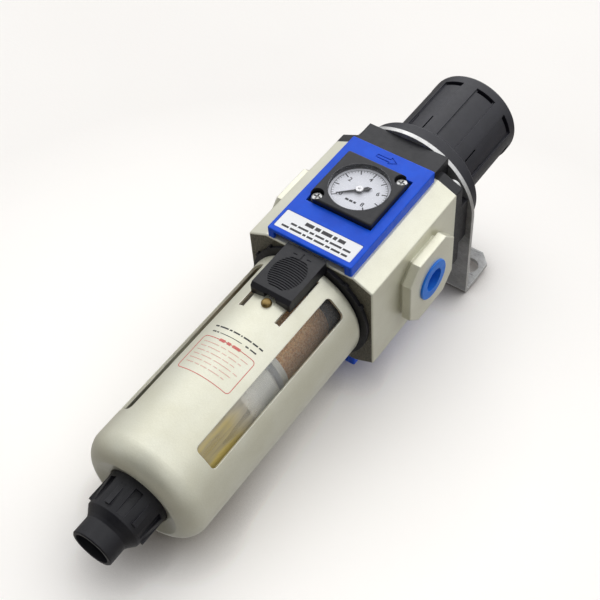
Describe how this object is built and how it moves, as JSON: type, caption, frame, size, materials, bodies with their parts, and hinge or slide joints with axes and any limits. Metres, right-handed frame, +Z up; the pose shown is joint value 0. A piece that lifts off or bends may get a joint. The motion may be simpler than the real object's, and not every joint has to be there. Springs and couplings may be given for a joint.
{
  "type": "air filter regulator",
  "caption": "Compressed-air filter regulator with pressure gauge, adjusting knob, mounting bracket, clear bowl in a slotted metal guard and a manual drain.",
  "frame": {"origin": "where the axis through the two ports crosses the main axis", "axes": "+Z up the main axis towards the adjusting knob, -Y towards the gauge, +X towards the outlet port"},
  "size_m": [0.0709, 0.085, 0.2602],
  "materials": {
    "champagne_paint": "satin metallic champagne paint over a die casting",
    "guard_paint": "satin metallic champagne paint over a drawn steel shell",
    "blue_plastic": "semi-gloss moulded blue",
    "plug_blue": "soft moulded blue",
    "black_plastic": "fine textured moulded black",
    "label_white": "white printed film",
    "dial_white": "white printed dial",
    "clear_lens": "clear polished",
    "bowl_clear": "clear moulded polycarbonate",
    "plated_steel": "bright zinc plate",
    "spring_steel": "drawn wire",
    "brass": "turned",
    "sintered_bronze": "sintered, porous",
    "white_plastic": "translucent moulded",
    "rubber": "moulded nitrile",
    "die_cast": "turned"
  },
  "bodies": {
    "root": {"body": "champagne_paint", "front_cover": "blue_plastic", "rear_cover": "blue_plastic", "label_plate": "label_white", "gauge_case": "black_plastic", "gauge_o_ring": "rubber", "gauge_dial": "dial_white", "gauge_movement": "brass", "gauge_lens": "clear_lens", "gauge_screws": "plated_steel", "bonnet": "black_plastic", "bonnet_screws": "plated_steel", "bracket": "plated_steel", "panel_nut": "black_plastic", "diaphragm": "rubber", "main_spring": "spring_steel", "valve_spring": "spring_steel", "valve_guide": "brass", "deflector": "black_plastic", "filter_element": "sintered_bronze", "element_stud": "brass", "baffle": "white_plastic"},
    "gauge_needle": {"gauge_needle": "black_plastic", "needle_cap": "plated_steel"},
    "adjusting_screw": {"adjusting_screw": "plated_steel"},
    "knob": {"knob": "black_plastic"},
    "spring_nut": {"spring_nut": "brass"},
    "valve": {"diaphragm_plate": "die_cast", "diaphragm_washer": "die_cast", "valve_stem": "brass", "valve_disc": "rubber"},
    "bowl": {"bowl": "bowl_clear", "bowl_o_ring": "rubber", "bowl_ring": "black_plastic", "bowl_guard": "guard_paint", "lock_rivet": "brass", "lock_spring": "spring_steel"},
    "lock_button": {"lock_button": "black_plastic"},
    "drain_knob": {"drain_knob": "black_plastic"},
    "drain_stem": {"drain_stem": "brass", "drain_o_ring": "rubber"},
    "port_plug": {"port_plug": "plug_blue"}
  },
  "joints": [
    {"name": "knob_turn", "type": "hinge", "parent": "root", "child": "adjusting_screw", "pos_m": [0, 0, 0.06], "axis": [0, 0, -1], "range_deg": [0, 1800]},
    {"name": "knob_lift", "type": "slide", "parent": "adjusting_screw", "child": "knob", "axis": [0, 0, 1], "range_m": [0, 0.0035]},
    {"name": "spring_nut_travel", "type": "slide", "parent": "root", "child": "spring_nut", "axis": [0, 0, -1], "range_m": [0, 0.0075], "deforming": ["main_spring"]},
    {"name": "valve_travel", "type": "slide", "parent": "root", "child": "valve", "axis": [0, 0, -1], "range_m": [0, 0.0012], "deforming": ["valve_spring", "diaphragm"]},
    {"name": "needle_turn", "type": "hinge", "parent": "root", "child": "gauge_needle", "pos_m": [0, -0.0315, 0.00024], "axis": [0, 1, 0], "range_deg": [0, 270]},
    {"name": "bowl_drop", "type": "slide", "parent": "root", "child": "bowl", "axis": [0, 0, -1], "range_m": [0, 0.1]},
    {"name": "lock_slide", "type": "slide", "parent": "bowl", "child": "lock_button", "axis": [0, 0, -1], "range_m": [0, 0.0055], "deforming": ["lock_spring"]},
    {"name": "drain_turn", "type": "hinge", "parent": "bowl", "child": "drain_knob", "pos_m": [0, 0, -0.15], "axis": [0, 0, 1], "range_deg": [0, 90]},
    {"name": "drain_lift", "type": "slide", "parent": "bowl", "child": "drain_stem", "axis": [0, 0, 1], "range_m": [0, 0.0012]},
    {"name": "plug_pull", "type": "slide", "parent": "root", "child": "port_plug", "axis": [1, 0, 0], "range_m": [0, 0.02]}
  ],
  "couplings": [
    {"joint": "spring_nut_travel", "follows": "knob_turn", "m_per_rad": 0.00023873},
    {"joint": "drain_lift", "follows": "drain_turn", "m_per_rad": 0.00076387}
  ]
}
